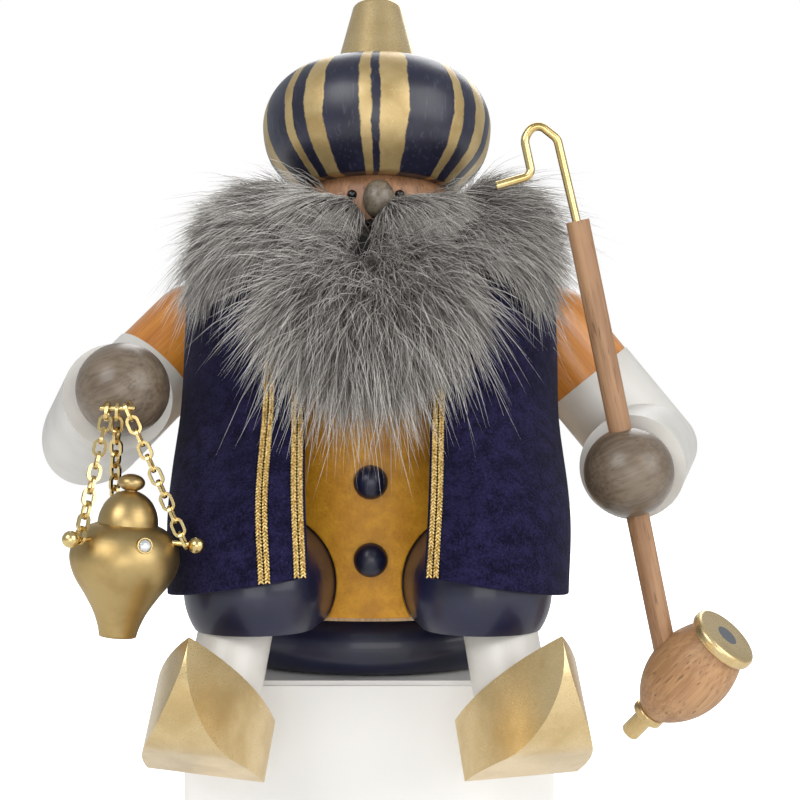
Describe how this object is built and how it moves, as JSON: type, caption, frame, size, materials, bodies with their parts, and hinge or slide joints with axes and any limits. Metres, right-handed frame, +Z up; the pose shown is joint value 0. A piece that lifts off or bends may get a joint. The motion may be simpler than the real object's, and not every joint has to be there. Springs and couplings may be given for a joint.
{
  "type": "incense smoker figure",
  "caption": "Seated folk incense smoker: turned wooden figure in a felt coat with fur beard, turban, pipe and hanging censer; it lifts off its seat base to take the incense cone.",
  "frame": {"origin": "centre of the seat base's flat underside", "axes": "+Z up, the figure looks along -Y, +X is to the right in the front view; the shoes hang below Z = 0"},
  "size_m": [0.1317, 0.1045, 0.1448],
  "materials": {
    "navy_wood": "glossy navy lacquer over turned wood",
    "yellow_wood": "satin ochre stain over turned wood",
    "white_wood": "satin white paint on turned wood",
    "head_wood": "satin reddish stained wood",
    "grey_wood": "satin grey-brown stained wood",
    "beech": "satin natural beech",
    "plain_wood": "bare wood",
    "turban_wood": "satin navy with uneven gold stripes",
    "gold_paint": "satin gold lacquer",
    "ochre_leather": "smooth ochre leather",
    "gold_braid": "woven metallic thread",
    "rabbit_fur": "grey fur with pale tips",
    "eye_gloss": "glossy black",
    "satin_brass": "satin brass",
    "bright_brass": "polished brass",
    "clear_stone": "clear cut stone",
    "grey_insert": "matt grey",
    "navy_felt": "navy wool felt"
  },
  "bodies": {
    "seat": {"seat_base": "navy_wood", "incense_plate": "bright_brass", "plate_nail": "bright_brass"},
    "figure": {"beard_fur": "rabbit_fur", "braid_left_inner": "gold_braid", "braid_left_outer": "gold_braid", "braid_right": "gold_braid", "button_lower": "navy_wood", "button_upper": "navy_wood", "coat_back": "navy_felt", "coat_front_left": "navy_felt", "coat_front_right": "navy_felt", "eyes": "eye_gloss", "finial": "gold_paint", "forearm_left": "white_wood", "forearm_right": "white_wood", "hair_fur": "rabbit_fur", "hand_left": "grey_wood", "hand_right": "grey_wood", "hand_staple": "bright_brass", "head": "head_wood", "hip_dowels": "plain_wood", "lower_leg_left": "white_wood", "lower_leg_right": "white_wood", "moustache_fur": "rabbit_fur", "nose": "grey_wood", "shoe_left": "gold_paint", "shoe_right": "gold_paint", "shoulder_dowels": "plain_wood", "sleeve_left": "white_wood", "sleeve_right": "white_wood", "thigh_left": "navy_wood", "thigh_right": "navy_wood", "torso": "plain_wood", "turban": "turban_wood", "turban_peg": "plain_wood", "upper_arm_left": "yellow_wood", "upper_arm_right": "yellow_wood", "vest": "ochre_leather", "wrist_dowels": "plain_wood"},
    "pipe": {"pipe_stem": "beech", "pipe_mouthpiece": "bright_brass", "pipe_bowl": "beech", "pipe_rim": "gold_paint", "pipe_insert": "grey_insert", "pipe_nipple": "gold_paint"},
    "censer": {"chain_front": "bright_brass", "chain_right": "bright_brass", "chain_rear": "bright_brass", "censer_pins": "bright_brass", "censer_jar": "satin_brass", "censer_lid": "satin_brass", "censer_stone": "clear_stone"}
  },
  "joints": [
    {"name": "figure_lift", "type": "slide", "parent": "seat", "child": "figure", "axis": [0, 0, 1], "range_m": [0, 0.06]},
    {"name": "pipe_turn", "type": "hinge", "parent": "figure", "child": "pipe", "pos_m": [0.04634, -0.03331, 0.03638], "axis": [-0.2128, -0.1011, 0.9719], "range_deg": [0, 75]},
    {"name": "censer_swing", "type": "hinge", "parent": "figure", "child": "censer", "pos_m": [-0.04103, -0.05296, 0.04863], "axis": [1, 0, 0], "range_deg": [-40, 2]}
  ]
}
